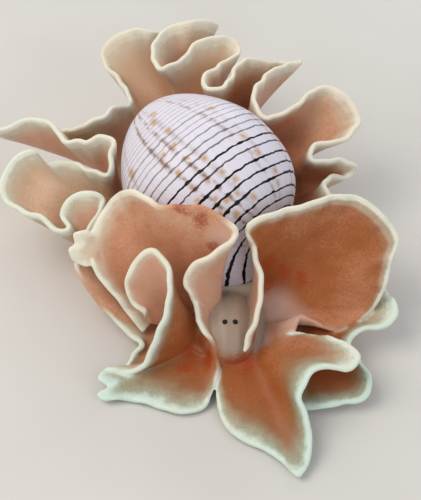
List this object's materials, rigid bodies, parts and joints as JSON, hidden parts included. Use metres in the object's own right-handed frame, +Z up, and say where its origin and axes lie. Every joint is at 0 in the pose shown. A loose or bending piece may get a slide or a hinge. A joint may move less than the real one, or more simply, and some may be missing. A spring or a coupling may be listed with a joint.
{
  "type": "brown-line paper bubble snail",
  "caption": "Life-size sea snail with a thin round lined shell, wide upright head lobes and a ruffled foot margin, crawling on a flat sole.",
  "frame": {"origin": "middle of the lower side of the part's box, on the floor it crawls on", "axes": "-Y towards the head, +X towards the animal's left, +Z up"},
  "size_m": [0.0846, 0.1068, 0.0363],
  "materials": {
    "shell": "gloss",
    "flesh": "satin",
    "head": "satin",
    "eye": "gloss"
  },
  "bodies": {
    "root": {"shell": "shell", "head": "head", "foot_sole": "flesh", "trunk": "flesh", "eye_right": "eye", "eye_left": "eye", "lobe_rear_right": "flesh", "lobe_rear_left": "flesh", "lobe_front_right": "flesh", "lobe_front_left": "flesh", "frill_front_right": "flesh", "frill_right": "flesh", "frill_rear_right": "flesh", "frill_tail_right": "flesh", "frill_tail": "flesh", "frill_tail_left": "flesh", "frill_rear_left": "flesh", "frill_left": "flesh", "frill_front_left": "flesh"}
  },
  "joints": []
}
